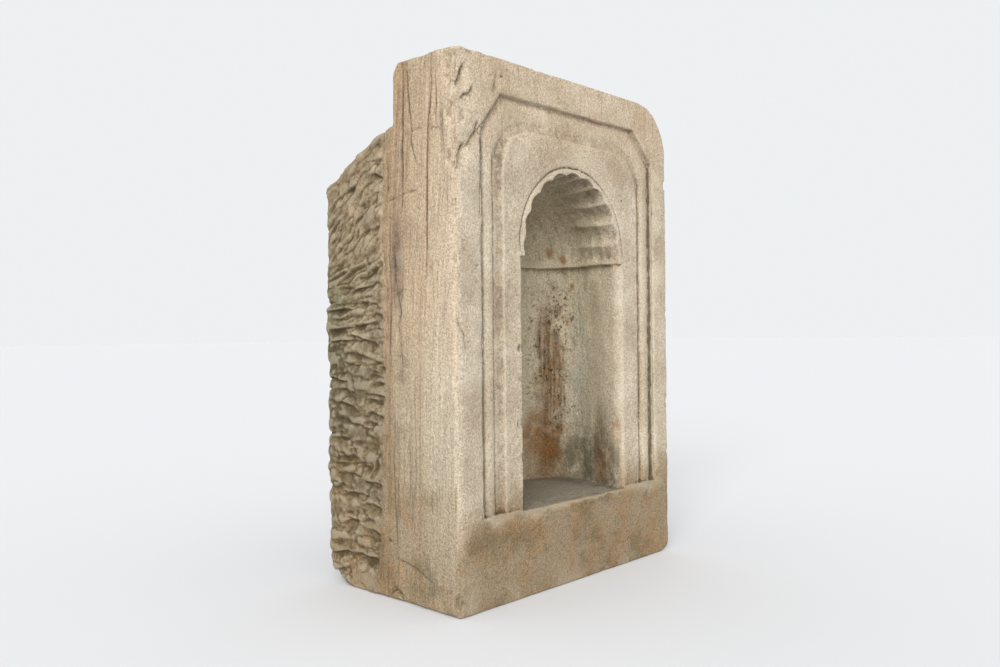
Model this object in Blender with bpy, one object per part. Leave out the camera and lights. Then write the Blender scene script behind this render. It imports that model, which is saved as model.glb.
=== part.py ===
# Carved stone wall niche: one block of sandstone with a moulded frame,
# a lamp niche under a fluted shell hood, and a rough-hewn tail that was
# once built into a wall. Metres, +Z up, the front faces -Y.
# The origin is at the bottom centre of the block.

import math

import bmesh
import bpy
from mathutils import Vector, noise

# The block
block_width = 0.478
block_height = 0.720
block_depth = 0.283
# The dressed slab stands up above the shoulder of the tail behind it
slab_depth = 0.120
slab_back_round = 0.020
shoulder_drop = 0.082
tail_fall = 0.072
shoulder_curve = 1.5
# Worn corners of the front, each as a run sideways and a drop
right_corner_run = 0.084
right_corner_drop = 0.080
left_corner_run = 0.042
left_corner_drop = 0.002
right_foot_round = 0.010
left_foot_round = 0.004
# Small rounds on the long edges
front_edge_round = 0.003
back_edge_round = 0.014
tail_foot_run = 0.088
tail_foot_rise = 0.050

# The moulded frame, measured from the edges of the front face
border_left = 0.046
border_right = 0.041
border_top = 0.046
plinth_height = 0.1195
corner_left_run = 0.038
corner_left_rise = 0.052
corner_right_run = 0.050
corner_right_rise = 0.045
panel_corner_reach = 0.064
panel_corner_bow = 0.5
# Across the mouldings, from the border in to the panel
step_depth = 0.0066
step_batter = 0.0007
step_flat = 0.0058
rib_width = 0.0205
rib_height = 0.0034
rib_fullness = 0.7
groove_width = 0.0070
groove_side = 0.0023
groove_depth = 0.0090
cavetto_width = 0.0095
panel_depth = 0.0015
top_wear = 0.62

# The niche: half its width each side, then how it swells behind its jambs
opening_left = 0.118
opening_right = 0.1105
floor_drop = 0.003
chamber_depth = 0.176
chamber_left_swell = 0.018
chamber_right_swell = 0.024
chamber_swell_at = 0.112
chamber_foot_flare = 0.010
chamber_foot_upright = 0.014
chamber_upright_front = 0.0125
left_jamb_round = 0.003
right_jamb_round = 0.014
back_squareness = 2.4

# The fluted hood, set below the top of the panel
panel_above_arch = 0.036
hood_stilt = 0.0136
ledge_overhang = 0.0055
hood_pinch = 0.004
hood_pinch_at = 0.020
hood_swell = 0.011
hood_swell_at = 0.100
hood_crown_at = 0.012
hood_depth = 0.168
flute_count = 11
rim_scallop = 0.0042
flute_depth = 0.0068
flute_length = 0.116
flute_full_at = 0.029
flute_fades_from = 0.064
arch_band = 0.0065
arch_line_width = 0.0030

# The hewn tail: how far the dressed side runs on past the slab
dressed_past_slab = 0.014
dressed_foot_past_slab = 0.048
hewn_starts_over = 0.014
hewn_foot_starts_over = 0.030
hewn_depth = 0.0065
pick_spacing = 0.034
pick_slope = 0.55
pick_wander = 0.45
pick_wander_size = 0.054
pick_break_size = 0.026
pick_wave_share = 0.32
pick_break_share = 0.45

# Facets
hewn_row = 0.0135
hewn_column = 0.0195
hewn_column_across = 0.0254
behind_slab = 0.006
corner_steps = 8
round_steps = 4
arris_steps = 2
rib_steps = 6
cavetto_steps = 4
flute_steps = 6
plan_steps = 14
arch_line_steps = 48
jamb_shares = (0.08, 0.25, 0.55, 1.0)
hood_shares = (0.0, 0.07, 0.17, 0.29, 0.41, 0.52, 0.62, 0.72, 0.81, 0.89, 0.945, 0.98,
               0.996)
past_face = 0.012

# What follows from the sizes
half_width = block_width / 2
front_y = -block_depth / 2
back_y = block_depth / 2
slab_y = front_y + slab_depth
shoulder_height = block_height - shoulder_drop
moulding_width = step_flat + rib_width + groove_width + cavetto_width
hood_radius = (opening_left + opening_right - ledge_overhang) / 2
arch_line_radius = hood_radius + arch_band
panel_top = block_height - border_top - moulding_width
arch_centre_height = panel_top - panel_above_arch - arch_line_radius
ledge_height = arch_centre_height - hood_stilt
floor_height = plinth_height - floor_drop


# Blends

def smooth(low, high, value):
    """0 below low, 1 above high, and a soft step between."""
    t = max(0.0, min(1.0, (value - low) / (high - low)))
    return t * t * (3 - 2 * t)


def mix(a, b, t):
    return a + (b - a) * t


# Scene and collections

def clear_scene():
    for item in list(bpy.data.objects):
        bpy.data.objects.remove(item, do_unlink=True)


def make_collection(name):
    group = bpy.data.collections.new(name)
    bpy.context.scene.collection.children.link(group)
    return group


def stone_material():
    stone = bpy.data.materials.new("buff_sandstone")
    stone.use_nodes = True
    shader = stone.node_tree.nodes["Principled BSDF"]
    shader.inputs["Base Color"].default_value = (0.57, 0.46, 0.335, 1.0)
    shader.inputs["Roughness"].default_value = 0.9
    shader.inputs["Metallic"].default_value = 0.0
    return stone


def add_object(name, mesh, group):
    item = bpy.data.objects.new(name, mesh)
    group.objects.link(item)
    return item


def mark_as_cutter(item):
    item.hide_render = True
    item.display_type = "WIRE"


def mesh_of(item):
    """The evaluated mesh of an object, as a new mesh in world space."""
    bpy.context.view_layer.update()
    graph = bpy.context.evaluated_depsgraph_get()
    mesh = bpy.data.meshes.new_from_object(item.evaluated_get(graph), depsgraph=graph)
    mesh.transform(item.matrix_world)
    return mesh


def prism(name, outline, length, turn, group):
    """A flat outline extruded both ways from its plane, as a closed mesh."""
    curve = bpy.data.curves.new(name, "CURVE")
    curve.dimensions = "2D"
    curve.fill_mode = "BOTH"
    curve.extrude = length / 2
    spline = curve.splines.new("POLY")
    spline.points.add(len(outline) - 1)
    for point, (a, b) in zip(spline.points, outline):
        point.co = (a, b, 0, 1)
    spline.use_cyclic_u = True
    drawn = add_object(name + "_outline", curve, group)
    drawn.rotation_euler = turn
    mesh = mesh_of(drawn)
    bpy.data.objects.remove(drawn, do_unlink=True)
    form = bmesh.new()
    form.from_mesh(mesh)
    bmesh.ops.remove_doubles(form, verts=form.verts, dist=0.00001)
    bmesh.ops.recalc_face_normals(form, faces=form.faces)
    form.to_mesh(mesh)
    form.free()
    item = add_object(name, mesh, group)
    mark_as_cutter(item)
    return item


def boolean(item, cutter, operation):
    step = item.modifiers.new(operation.lower() + "_" + cutter.name, "BOOLEAN")
    step.operation = operation
    step.object = cutter
    step.solver = "EXACT"


# Outlines of the block

def quarter(centre_a, centre_b, radius_a, radius_b, start, steps):
    """Points on a quarter of an ellipse, from a start angle in degrees."""
    points = []
    for step in range(steps + 1):
        angle = math.radians(start + 90 * step / steps)
        a = centre_a + radius_a * math.cos(angle)
        b = centre_b + radius_b * math.sin(angle)
        points.append((a, b))
    return points


def front_outline():
    """Seen from the front: square at the foot, worn at the upper corners."""
    right = quarter(half_width - right_corner_run, block_height - right_corner_drop,
                    right_corner_run, right_corner_drop, 0, corner_steps)
    left = quarter(-half_width + left_corner_run, block_height - left_corner_drop,
                   left_corner_run, left_corner_drop, 90, round_steps)
    left_foot = quarter(-half_width + left_foot_round, left_foot_round,
                        left_foot_round, left_foot_round, 180, arris_steps)
    right_foot = quarter(half_width - right_foot_round, right_foot_round,
                         right_foot_round, right_foot_round, 270, round_steps)
    return left_foot + right_foot + right + left


def plan_outline():
    """Seen from above: sharp arrises in front, soft edges at the back."""
    r = front_edge_round
    b = back_edge_round
    points = quarter(-half_width + r, front_y + r, r, r, 180, arris_steps)
    points += quarter(half_width - r, front_y + r, r, r, 270, arris_steps)
    points += quarter(half_width - b, back_y - b, b, b, 0, round_steps)
    points += quarter(-half_width + b, back_y - b, b, b, 90, round_steps)
    return points


def shoulder_at(y):
    """Height of the sloping shoulder of the tail."""
    share = max(0.0, min(1.0, (y - slab_y) / (back_y - slab_y)))
    return shoulder_height - tail_fall * share ** shoulder_curve


def side_outline():
    """Seen from the side: the slab, its shoulder, and the tail behind it."""
    r = front_edge_round
    points = quarter(front_y + r, r, r, r, 180, arris_steps)
    points += quarter(back_y - tail_foot_run, tail_foot_rise,
                      tail_foot_run, tail_foot_rise, 270, corner_steps)
    for step in range(corner_steps + 1):
        y = back_y + (slab_y - back_y) * step / corner_steps
        points.append((y, shoulder_at(y)))
    points += quarter(slab_y - slab_back_round, block_height - slab_back_round,
                      slab_back_round, slab_back_round, 0, round_steps)
    points += quarter(front_y + r, block_height - r, r, r, 90, arris_steps)
    return points


# The hewn tail

def dressed_until(z):
    """Depth at which the dressed side gives way to the hewn tail."""
    share = max(0.0, 1.0 - 2 * z / shoulder_height)
    return slab_y + mix(dressed_past_slab, dressed_foot_past_slab, share ** 2)


def pick_marks(across, z):
    """0 on the ridges and 1 in the furrows left by the pick."""
    lean = pick_slope * smooth(shoulder_height * 0.3, shoulder_height * 0.65, z)
    place = Vector((across, z, 0))
    wander = noise.noise(place / pick_wander_size) * pick_spacing * pick_wander
    wave = math.sin(2 * math.pi * (z + across * lean + wander) / pick_spacing)
    elsewhere = Vector((block_width, block_height, block_depth))
    breaks = noise.noise((place + elsewhere) / pick_break_size)
    depth = 0.5 + pick_wave_share * wave + pick_break_share * breaks
    return max(0.0, min(1.0, depth))


def hewn(point, normal):
    """How far the pick went in below the block's outline at a point."""
    facing = max(range(3), key=lambda axis: abs(normal[axis]))
    if facing == 2 and normal.z < 0:
        return 0.0
    across = point.y if facing == 0 else abs(point.x)
    fade = smooth(0.0, hewn_starts_over, point.y - dressed_until(point.z))
    fade *= smooth(0.0, hewn_foot_starts_over, point.z)
    return hewn_depth * pick_marks(across, point.z) * fade


def cut_rows(form, axis, first, last, spacing, behind):
    """Cut level rows of facets into the faces behind a plane."""
    normal = Vector([1.0 if i == axis else 0.0 for i in range(3)])
    count = max(1, round((last - first) / spacing))
    for step in range(1, count):
        place = normal * (first + (last - first) * step / count)
        faces = [f for f in form.faces if f.calc_center_median().y > behind]
        edges = list({e for f in faces for e in f.edges})
        verts = list({v for f in faces for v in f.verts})
        bmesh.ops.bisect_plane(form, geom=verts + edges + faces, dist=0.00002,
                               plane_co=place, plane_no=normal)


def hew_tail(mesh):
    """Facet the tail and sink the pick's furrows into it."""
    form = bmesh.new()
    form.from_mesh(mesh)
    bmesh.ops.dissolve_limit(form, angle_limit=0.0005, verts=form.verts, edges=form.edges)
    behind = slab_y + behind_slab
    everything = list(form.verts) + list(form.edges) + list(form.faces)
    bmesh.ops.bisect_plane(form, geom=everything, dist=0.00002,
                           plane_co=(0, behind, 0), plane_no=(0, 1, 0))
    cut_rows(form, 1, behind, back_y, hewn_column, behind)
    cut_rows(form, 2, 0, shoulder_height, hewn_row, behind)
    cut_rows(form, 0, -half_width, half_width, hewn_column_across, behind)
    form.normal_update()
    rear = [v for v in form.verts if v.co.y > behind + 0.0001]
    depths = [(v, v.normal.copy(), hewn(v.co, v.normal)) for v in rear]
    for vertex, normal, depth in depths:
        vertex.co -= normal * depth
    rough = [f for f in form.faces if f.calc_center_median().y > behind]
    bmesh.ops.triangulate(form, faces=rough)
    form.to_mesh(mesh)
    form.free()


# The moulded frame

def moulding_section():
    """Inset from the border and depth below the front face, going inwards."""
    section = [(0.0, 0.0), (step_batter, step_depth)]
    section.append((step_flat, step_depth))
    for step in range(1, rib_steps):
        angle = math.pi * step / rib_steps
        inset = step_flat + rib_width * step / rib_steps
        rise = rib_height * math.sin(angle) ** rib_fullness
        section.append((inset, step_depth - rise))
    inset = step_flat + rib_width
    section.append((inset, step_depth))
    section.append((inset + groove_side, groove_depth))
    section.append((inset + groove_width, groove_depth))
    inset += groove_width
    for step in range(1, cavetto_steps):
        angle = math.pi / 2 * step / cavetto_steps
        rise = (groove_depth - panel_depth) * (1 - math.cos(angle))
        section.append((inset + cavetto_width * math.sin(angle), groove_depth - rise))
    section.append((inset + cavetto_width, panel_depth))
    return section


def corner_curve(start, end, corner, roundness):
    """A corner cut off straight, or bowed out towards its square corner."""
    points = []
    for step in range(corner_steps + 1):
        t = step / corner_steps
        chord = Vector(start).lerp(Vector(end), t)
        middle = Vector(start).lerp(Vector(end), 0.5)
        bow = (Vector(corner) - middle) * roundness * math.sin(math.pi * t)
        points.append(chord + bow)
    return points


def frame_ring(inset):
    """The frame's outline at an inset, from its left foot round to its right."""
    share = inset / moulding_width
    left = -half_width + border_left + inset
    right = half_width - border_right - inset
    top = block_height - border_top - inset
    roundness = panel_corner_bow * share
    left_run = mix(corner_left_run, panel_corner_reach, share)
    left_rise = mix(corner_left_rise, panel_corner_reach, share)
    right_run = mix(corner_right_run, panel_corner_reach, share)
    right_rise = mix(corner_right_rise, panel_corner_reach, share)
    ring = [Vector((left, plinth_height))]
    ring += corner_curve((left, top - left_rise), (left + left_run, top),
                         (left, top), roundness)
    ring += corner_curve((right - right_run, top), (right, top - right_rise),
                         (right, top), roundness)
    ring.append(Vector((right, plinth_height)))
    return ring


def worn_depth(inset, depth, z):
    """The mouldings are rubbed down to a soft slope along the top."""
    low = panel_top - panel_corner_reach
    share = top_wear * smooth(low, low + panel_corner_reach, z)
    if inset == 0.0:
        return depth
    slope = mix(step_depth, panel_depth, inset / moulding_width)
    return mix(depth, slope, share)


def frame_cutter(group):
    """What was cut away inside the border: mouldings and sunk panel."""
    form = bmesh.new()
    rings = []
    for number, (inset, depth) in enumerate(moulding_section()):
        ring = []
        for a, b in frame_ring(inset):
            y = front_y + worn_depth(inset, depth, b)
            if number == 0:
                y = front_y - past_face
            ring.append(form.verts.new((a, y, b)))
        rings.append(ring)
    for outer, inner in zip(rings, rings[1:]):
        for i in range(len(outer) - 1):
            form.faces.new((outer[i], outer[i + 1], inner[i + 1], inner[i]))
    form.faces.new(rings[0])
    form.faces.new(rings[-1])
    form.faces.new([ring[0] for ring in rings] + [ring[-1] for ring in reversed(rings)])
    bmesh.ops.triangulate(form, faces=[f for f in form.faces if len(f.verts) == 4])
    bmesh.ops.recalc_face_normals(form, faces=form.faces)
    return finish_cutter("frame_cutter", form, group)


def finish_cutter(name, form, group):
    mesh = bpy.data.meshes.new(name)
    form.to_mesh(mesh)
    form.free()
    item = add_object(name, mesh, group)
    mark_as_cutter(item)
    return item


# The lower niche

def rear_cap(depth, widest, deepest):
    """1 up to the widest place, then closing to 0 at the deepest."""
    if depth <= widest:
        return 1.0
    share = min(1.0, (depth - widest) / (deepest - widest))
    return (1 - share ** back_squareness) ** (1 / back_squareness)


def chamber_half(depth, opening, swell, jamb_round):
    """Half the niche's width on one side at a depth behind the front."""
    half = opening + swell * smooth(chamber_upright_front, chamber_swell_at, depth)
    if depth < jamb_round:
        rest = jamb_round - max(depth, 0.0)
        half += jamb_round - math.sqrt(jamb_round ** 2 - rest ** 2)
    return half * rear_cap(depth, chamber_swell_at, chamber_depth)


def chamber_plan(flare):
    """The plan of the lower niche, right side first, front to back."""
    depths = [-past_face, 0.0]
    depths += [right_jamb_round * share for share in jamb_shares]
    first = right_jamb_round
    count = plan_steps
    for step in range(1, count + 1):
        share = math.sin(math.pi / 2 * step / count)
        depths.append(mix(first, chamber_depth, share))
    right = []
    left = []
    for depth in depths:
        half = chamber_half(depth, opening_right, chamber_right_swell + flare,
                            right_jamb_round)
        right.append((half, front_y + depth))
        half = chamber_half(depth, opening_left, chamber_left_swell + flare,
                            left_jamb_round)
        left.append((-half, front_y + depth))
    return right[:-1] + [(0.0, front_y + chamber_depth)] + left[:-1][::-1]


def chamber_cutter(group):
    """A loft between the niche's plan at its floor and at the hood's ledge."""
    form = bmesh.new()
    upright_to = floor_height + chamber_foot_upright
    middle = (floor_height + ledge_height) / 2
    levels = ((floor_height, chamber_foot_flare), (upright_to, chamber_foot_flare),
              (middle, chamber_foot_flare / 3), (ledge_height, 0.0))
    rings = []
    for z, flare in levels:
        rings.append([form.verts.new((a, b, z)) for a, b in chamber_plan(flare)])
    for lower, upper in zip(rings, rings[1:]):
        count = len(lower)
        for i in range(count):
            k = (i + 1) % count
            form.faces.new((lower[i], lower[k], upper[k], upper[i]))
    form.faces.new(rings[0])
    form.faces.new(rings[-1])
    bmesh.ops.triangulate(form, faces=[f for f in form.faces if len(f.verts) == 4])
    bmesh.ops.recalc_face_normals(form, faces=form.faces)
    return finish_cutter("chamber_cutter", form, group)


# The fluted hood

def hood_section(depth):
    """The hood's outline in a plane parallel to the front."""
    rim = hood_radius
    side = rim - hood_pinch * smooth(0.0, hood_pinch_at, depth)
    side += (hood_swell + hood_pinch) * smooth(hood_pinch_at, hood_swell_at, depth)
    side *= rear_cap(depth, hood_swell_at, hood_depth)
    crown = rim * rear_cap(depth, hood_crown_at, hood_depth)
    relief = mix(rim_scallop, flute_depth, smooth(0.0, flute_full_at, depth))
    relief *= 1 - smooth(flute_fades_from, flute_length, depth)
    points = []
    steps = flute_count * flute_steps
    foot = hood_stilt + ledge_overhang
    path = 2 * foot + math.pi * rim
    for step in range(steps + 1):
        along = path * step / steps - foot
        angle = max(0.0, min(math.pi, along / rim))
        below = max(0.0, -along, along - math.pi * rim)
        share = math.sin(angle) ** 2
        scallop = abs(math.sin(math.pi * step / flute_steps))
        radius = mix(side, crown, share)
        radius = max(radius / 2, radius + relief * (scallop - 1))
        points.append((radius * math.cos(angle), radius * math.sin(angle) - below))
    return points


def hood_cutter(group):
    """The hollow under the hood: a half dome with flutes that fade inwards."""
    form = bmesh.new()
    depths = [-past_face] + [hood_depth * share for share in hood_shares]
    rings = []
    for depth in depths:
        y = front_y + depth
        section = hood_section(max(0.0, depth))
        rings.append([form.verts.new((a, y, arch_centre_height + b)) for a, b in section])
    for outer, inner in zip(rings, rings[1:]):
        count = len(outer)
        for i in range(count):
            k = (i + 1) % count
            form.faces.new((outer[i], outer[k], inner[k], inner[i]))
    form.faces.new(rings[0])
    form.faces.new(rings[-1])
    bmesh.ops.triangulate(form, faces=[f for f in form.faces if len(f.verts) == 4])
    bmesh.ops.recalc_face_normals(form, faces=form.faces)
    return finish_cutter("hood_cutter", form, group)


def arch_line_cutter(group):
    """The fine line cut round the arch, just outside its scalloped edge."""
    curve = bpy.data.curves.new("arch_line", "CURVE")
    curve.dimensions = "3D"
    curve.bevel_depth = arch_line_width / 2
    curve.bevel_resolution = 0
    curve.use_fill_caps = True
    steps = arch_line_steps
    spline = curve.splines.new("POLY")
    spline.points.add(steps)
    for step, point in enumerate(spline.points):
        angle = math.pi * step / steps
        a = arch_line_radius * math.cos(angle)
        b = arch_centre_height + arch_line_radius * math.sin(angle)
        point.co = (a, front_y + panel_depth, b, 1)
    drawn = add_object("arch_line_path", curve, group)
    mesh = mesh_of(drawn)
    bpy.data.objects.remove(drawn, do_unlink=True)
    form = bmesh.new()
    form.from_mesh(mesh)
    bmesh.ops.remove_doubles(form, verts=form.verts, dist=0.00001)
    bmesh.ops.recalc_face_normals(form, faces=form.faces)
    bpy.data.meshes.remove(mesh)
    return finish_cutter("arch_line_cutter", form, group)


# Assembly

def build():
    clear_scene()
    parts = make_collection("stone_wall_niche")
    cutters = make_collection("cutters")
    half_turn = math.pi / 2
    side = prism("side_form", side_outline(), block_width, (half_turn, 0, half_turn), cutters)
    front = prism("front_form", front_outline(), block_depth * 1.5,
                  (half_turn, 0, 0), cutters)
    plan = prism("plan_form", plan_outline(), block_height * 3, (0, 0, 0), cutters)
    boolean(side, front, "INTERSECT")
    boolean(side, plan, "INTERSECT")
    mesh = mesh_of(side)
    for form in (side, front, plan):
        bpy.data.objects.remove(form, do_unlink=True)
    hew_tail(mesh)
    block = add_object("niche_block", mesh, parts)
    mesh.name = "niche_block"
    mesh.materials.clear()
    mesh.materials.append(stone_material())
    for cutter in (frame_cutter(cutters), chamber_cutter(cutters),
                   hood_cutter(cutters), arch_line_cutter(cutters)):
        boolean(block, cutter, "DIFFERENCE")
    return block


build()
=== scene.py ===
# %% [markdown]
# # Carved stone wall niche
# One block of buff sandstone: a moulded frame round a lamp niche, a fluted
# hood over the niche, and a rough tail that once sat inside a wall. The
# plain CAD block is the frame of this lesson. Its form is kept, and the
# worn, split and picked skin of real stone is worked into a finer copy.

import math

import bmesh
import bpy
import numpy as np
from mathutils import Matrix, Vector


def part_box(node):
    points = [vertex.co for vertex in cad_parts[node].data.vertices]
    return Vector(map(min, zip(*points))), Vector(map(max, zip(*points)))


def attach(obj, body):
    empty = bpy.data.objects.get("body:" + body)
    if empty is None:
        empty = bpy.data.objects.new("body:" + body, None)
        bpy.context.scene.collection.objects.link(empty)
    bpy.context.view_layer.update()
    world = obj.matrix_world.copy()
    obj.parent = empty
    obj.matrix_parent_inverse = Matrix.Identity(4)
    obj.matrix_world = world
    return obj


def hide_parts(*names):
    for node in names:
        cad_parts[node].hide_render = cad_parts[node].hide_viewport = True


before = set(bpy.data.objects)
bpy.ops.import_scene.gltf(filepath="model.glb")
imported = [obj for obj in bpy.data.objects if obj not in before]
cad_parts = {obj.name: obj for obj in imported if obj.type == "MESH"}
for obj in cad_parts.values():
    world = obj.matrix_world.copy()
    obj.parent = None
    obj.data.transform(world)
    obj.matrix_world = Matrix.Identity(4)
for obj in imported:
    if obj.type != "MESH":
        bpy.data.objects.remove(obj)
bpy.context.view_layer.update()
plain_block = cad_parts["niche_block"]
low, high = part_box("niche_block")
half_width = (high.x - low.x) / 2
height = high.z
mm = 0.001
print("block", [round(side / mm) for side in (high - low)], "mm")

# %% [markdown]
# ## An even skin
# Stone wears without regard to the way a mesh was built, so the relief needs
# small faces of one size everywhere. A subdivided CAD mesh keeps its long
# slivers; a voxel remesh of the closed, merged block gives even quads and
# slightly softened arrises, which is what old sandstone has.

# %% Merge the loose triangles and remesh
fine_voxel = 1.7 * mm
voxel = fine_voxel


def evaluated_mesh(item):
    """The mesh of an object with its modifiers applied, as a new mesh."""
    bpy.context.view_layer.update()
    graph = bpy.context.evaluated_depsgraph_get()
    return bpy.data.meshes.new_from_object(item.evaluated_get(graph), depsgraph=graph)


def take_result(item):
    """Replace an object's mesh by its result and drop the modifiers."""
    result = evaluated_mesh(item)
    old = item.data
    item.modifiers.clear()
    item.data = result
    bpy.data.meshes.remove(old)


def rounds_for(fine_rounds):
    """Rounds of smoothing that reach as far on this skin as on the fine one."""
    return max(1, round(fine_rounds * (fine_voxel / voxel) ** 2))


form = bmesh.new()
form.from_mesh(plain_block.data)
bmesh.ops.remove_doubles(form, verts=form.verts, dist=0.02 * mm)
bmesh.ops.recalc_face_normals(form, faces=form.faces)
skin = bpy.data.meshes.new("weathered_block")
form.to_mesh(skin)
form.free()
skin.materials.clear()
stone = bpy.data.objects.new("weathered_block", skin)
bpy.context.scene.collection.objects.link(stone)
remesh = stone.modifiers.new("even skin", "REMESH")
remesh.mode = "VOXEL"
remesh.voxel_size = voxel
take_result(stone)
print("even skin:", len(stone.data.vertices), "points")

# %% [markdown]
# ## Where the tools and the weather reached
# The dressed slab, the hewn tail, the niche and the frame all wear in their
# own way. Smooth weights say where each of them is. They could be painted
# by hand; worked out from the block's own measures they stay in step with it.

# %% Weights for the parts of the block
slab_depth = 120 * mm
shoulder = height - 82 * mm  # where the tail's top begins
floor_height = 116.5 * mm  # of the niche
ledge_height = 463.6 * mm  # under the hood
niche_half, niche_top, niche_back = 147 * mm, 598 * mm, 184 * mm


def soft_step(first, last, value):
    """0 before first, 1 after last, a soft step between; works backwards too."""
    share = np.clip((value - first) / (last - first), 0, 1)
    return share * share * (3 - 2 * share)


def rows_of(held, field):
    """The vectors in a mesh's list of points or of normals, a row for each."""
    flat = np.zeros(len(held) * 3, np.float32)
    held.foreach_get(field, flat)
    return flat.reshape(-1, 3).astype(float)


def points_of(mesh):
    return rows_of(mesh.vertices, "co")


def normals_of(mesh):
    return rows_of(mesh.vertex_normals, "vector")


def depth_of(points):
    """Distance behind the front face: the bedding lies flat in this depth."""
    return points[:, 1] - low.y


def dressed_until(z):
    """Depth where the dressed side gives way to the picks' marks."""
    foot = np.clip(1 - 2 * z / shoulder, 0, 1)
    return slab_depth + 22 * mm + 20 * mm * foot ** 2


def inside_weight(points):
    """1 inside the niche and its hood, 0 outside."""
    x, z, depth = points[:, 0], points[:, 2], depth_of(points)
    within = soft_step(niche_half + 2 * mm, niche_half - 2 * mm, np.abs(x))
    within *= soft_step(niche_top + 3 * mm, niche_top - 3 * mm, z)
    within *= soft_step(floor_height - 4.5 * mm, floor_height - 0.5 * mm, z)
    within *= soft_step(niche_back + 2 * mm, niche_back - 2 * mm, depth)
    return within * soft_step(3 * mm, 9 * mm, depth)


def hood_weight(points):
    """1 in the hood, above the ledge, 0 elsewhere."""
    above = soft_step(ledge_height, ledge_height + 12 * mm, points[:, 2])
    return inside_weight(points) * above


def tail_weight(points):
    """1 where the pick worked, behind the dressed slab, 0 elsewhere."""
    behind = depth_of(points) - dressed_until(points[:, 2])
    return soft_step(0, 10 * mm, behind) * (1 - inside_weight(points))


def front_field(points):
    """1 on the carved front inside its outer edges, where mouldings stay crisp."""
    x, z = points[:, 0], points[:, 2]
    field = soft_step(half_width - 26 * mm, half_width - 38 * mm, np.abs(x))
    field *= soft_step(height - 22 * mm, height - 40 * mm, z) * soft_step(8 * mm, 24 * mm, z)
    return field * soft_step(40 * mm, 26 * mm, depth_of(points))


def side_weight(points, normals):
    """1 on the two flat sides, 0 on the front, the top and inside."""
    outer = soft_step(half_width - 22 * mm, half_width - 12 * mm, np.abs(points[:, 0]))
    return outer * soft_step(0.45, 0.8, np.abs(normals[:, 0]))


places = points_of(stone.data)
print("on the tail:", int((tail_weight(places) > 0.5).sum()), "points")
print("in the niche:", int((inside_weight(places) > 0.5).sum()), "points")

# %% [markdown]
# ## Smoothing the facets away
# The CAD tail and hood are faceted to stay light. Blender's Smooth modifier,
# held to a vertex group, melts those facets and leaves the mouldings alone.

# %% Melt the facets
def weigh(item, name, weights):
    """Write one weight a point into a vertex group, in 21 even steps."""
    group = item.vertex_groups.new(name=name)
    steps = np.round(np.clip(weights, 0, 1) * 20).astype(int)
    for step in range(1, 21):
        members = np.nonzero(steps == step)[0]
        if len(members):
            group.add(members.tolist(), step / 20, "REPLACE")
    return name


def smooth_over(item, name, weights, rounds):
    """Add a Smooth modifier that works by one weight a point."""
    step = item.modifiers.new(name, "SMOOTH")
    step.vertex_group = weigh(item, name, weights)
    step.factor = 0.5
    step.iterations = rounds


facet_rounds, hood_rounds = rounds_for(36), rounds_for(3)
smooth_over(stone, "tail facets", tail_weight(places), facet_rounds)
smooth_over(stone, "niche facets", inside_weight(places), hood_rounds)
smooth_over(stone, "all over", np.ones(len(places)), 1)
take_result(stone)
stone.vertex_groups.clear()
print("facets melted:", facet_rounds, "rounds on the tail,", hood_rounds, "in the niche")

# %% [markdown]
# ## The picks' marks on the tail
# The tail was left as the mason's pick shaped it: short gouges, steep above
# and sloping below, scattered at an even pitch. A Geometry Nodes tree strews
# short strokes over the tail, measures how far each point of the stone lies
# from the nearest one, and sinks a furrow there. The same tree serves the
# back and both sides, and its named inputs are the sizes of the tool marks.

# %% One function that adds a node
def add_node(tree, kind, inputs=(), stops=(), **settings):
    """Add a node with its settings and return its outputs. Inputs come in their
    order, or by name or number, as values or as the sockets that feed them."""
    made = tree.nodes.new(kind)
    for name, value in settings.items():
        setattr(made, name, value)
    for number, (place, tone) in enumerate(stops):
        held = made.color_ramp.elements
        stop = held[number] if number < len(held) else held.new(place)
        stop.position, stop.color = place, tone
    for key, value in inputs.items() if isinstance(inputs, dict) else enumerate(inputs):
        if isinstance(value, bpy.types.NodeSocket):
            tree.links.new(value, made.inputs[key])
        else:
            made.inputs[key].default_value = value
    return made.outputs


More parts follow.
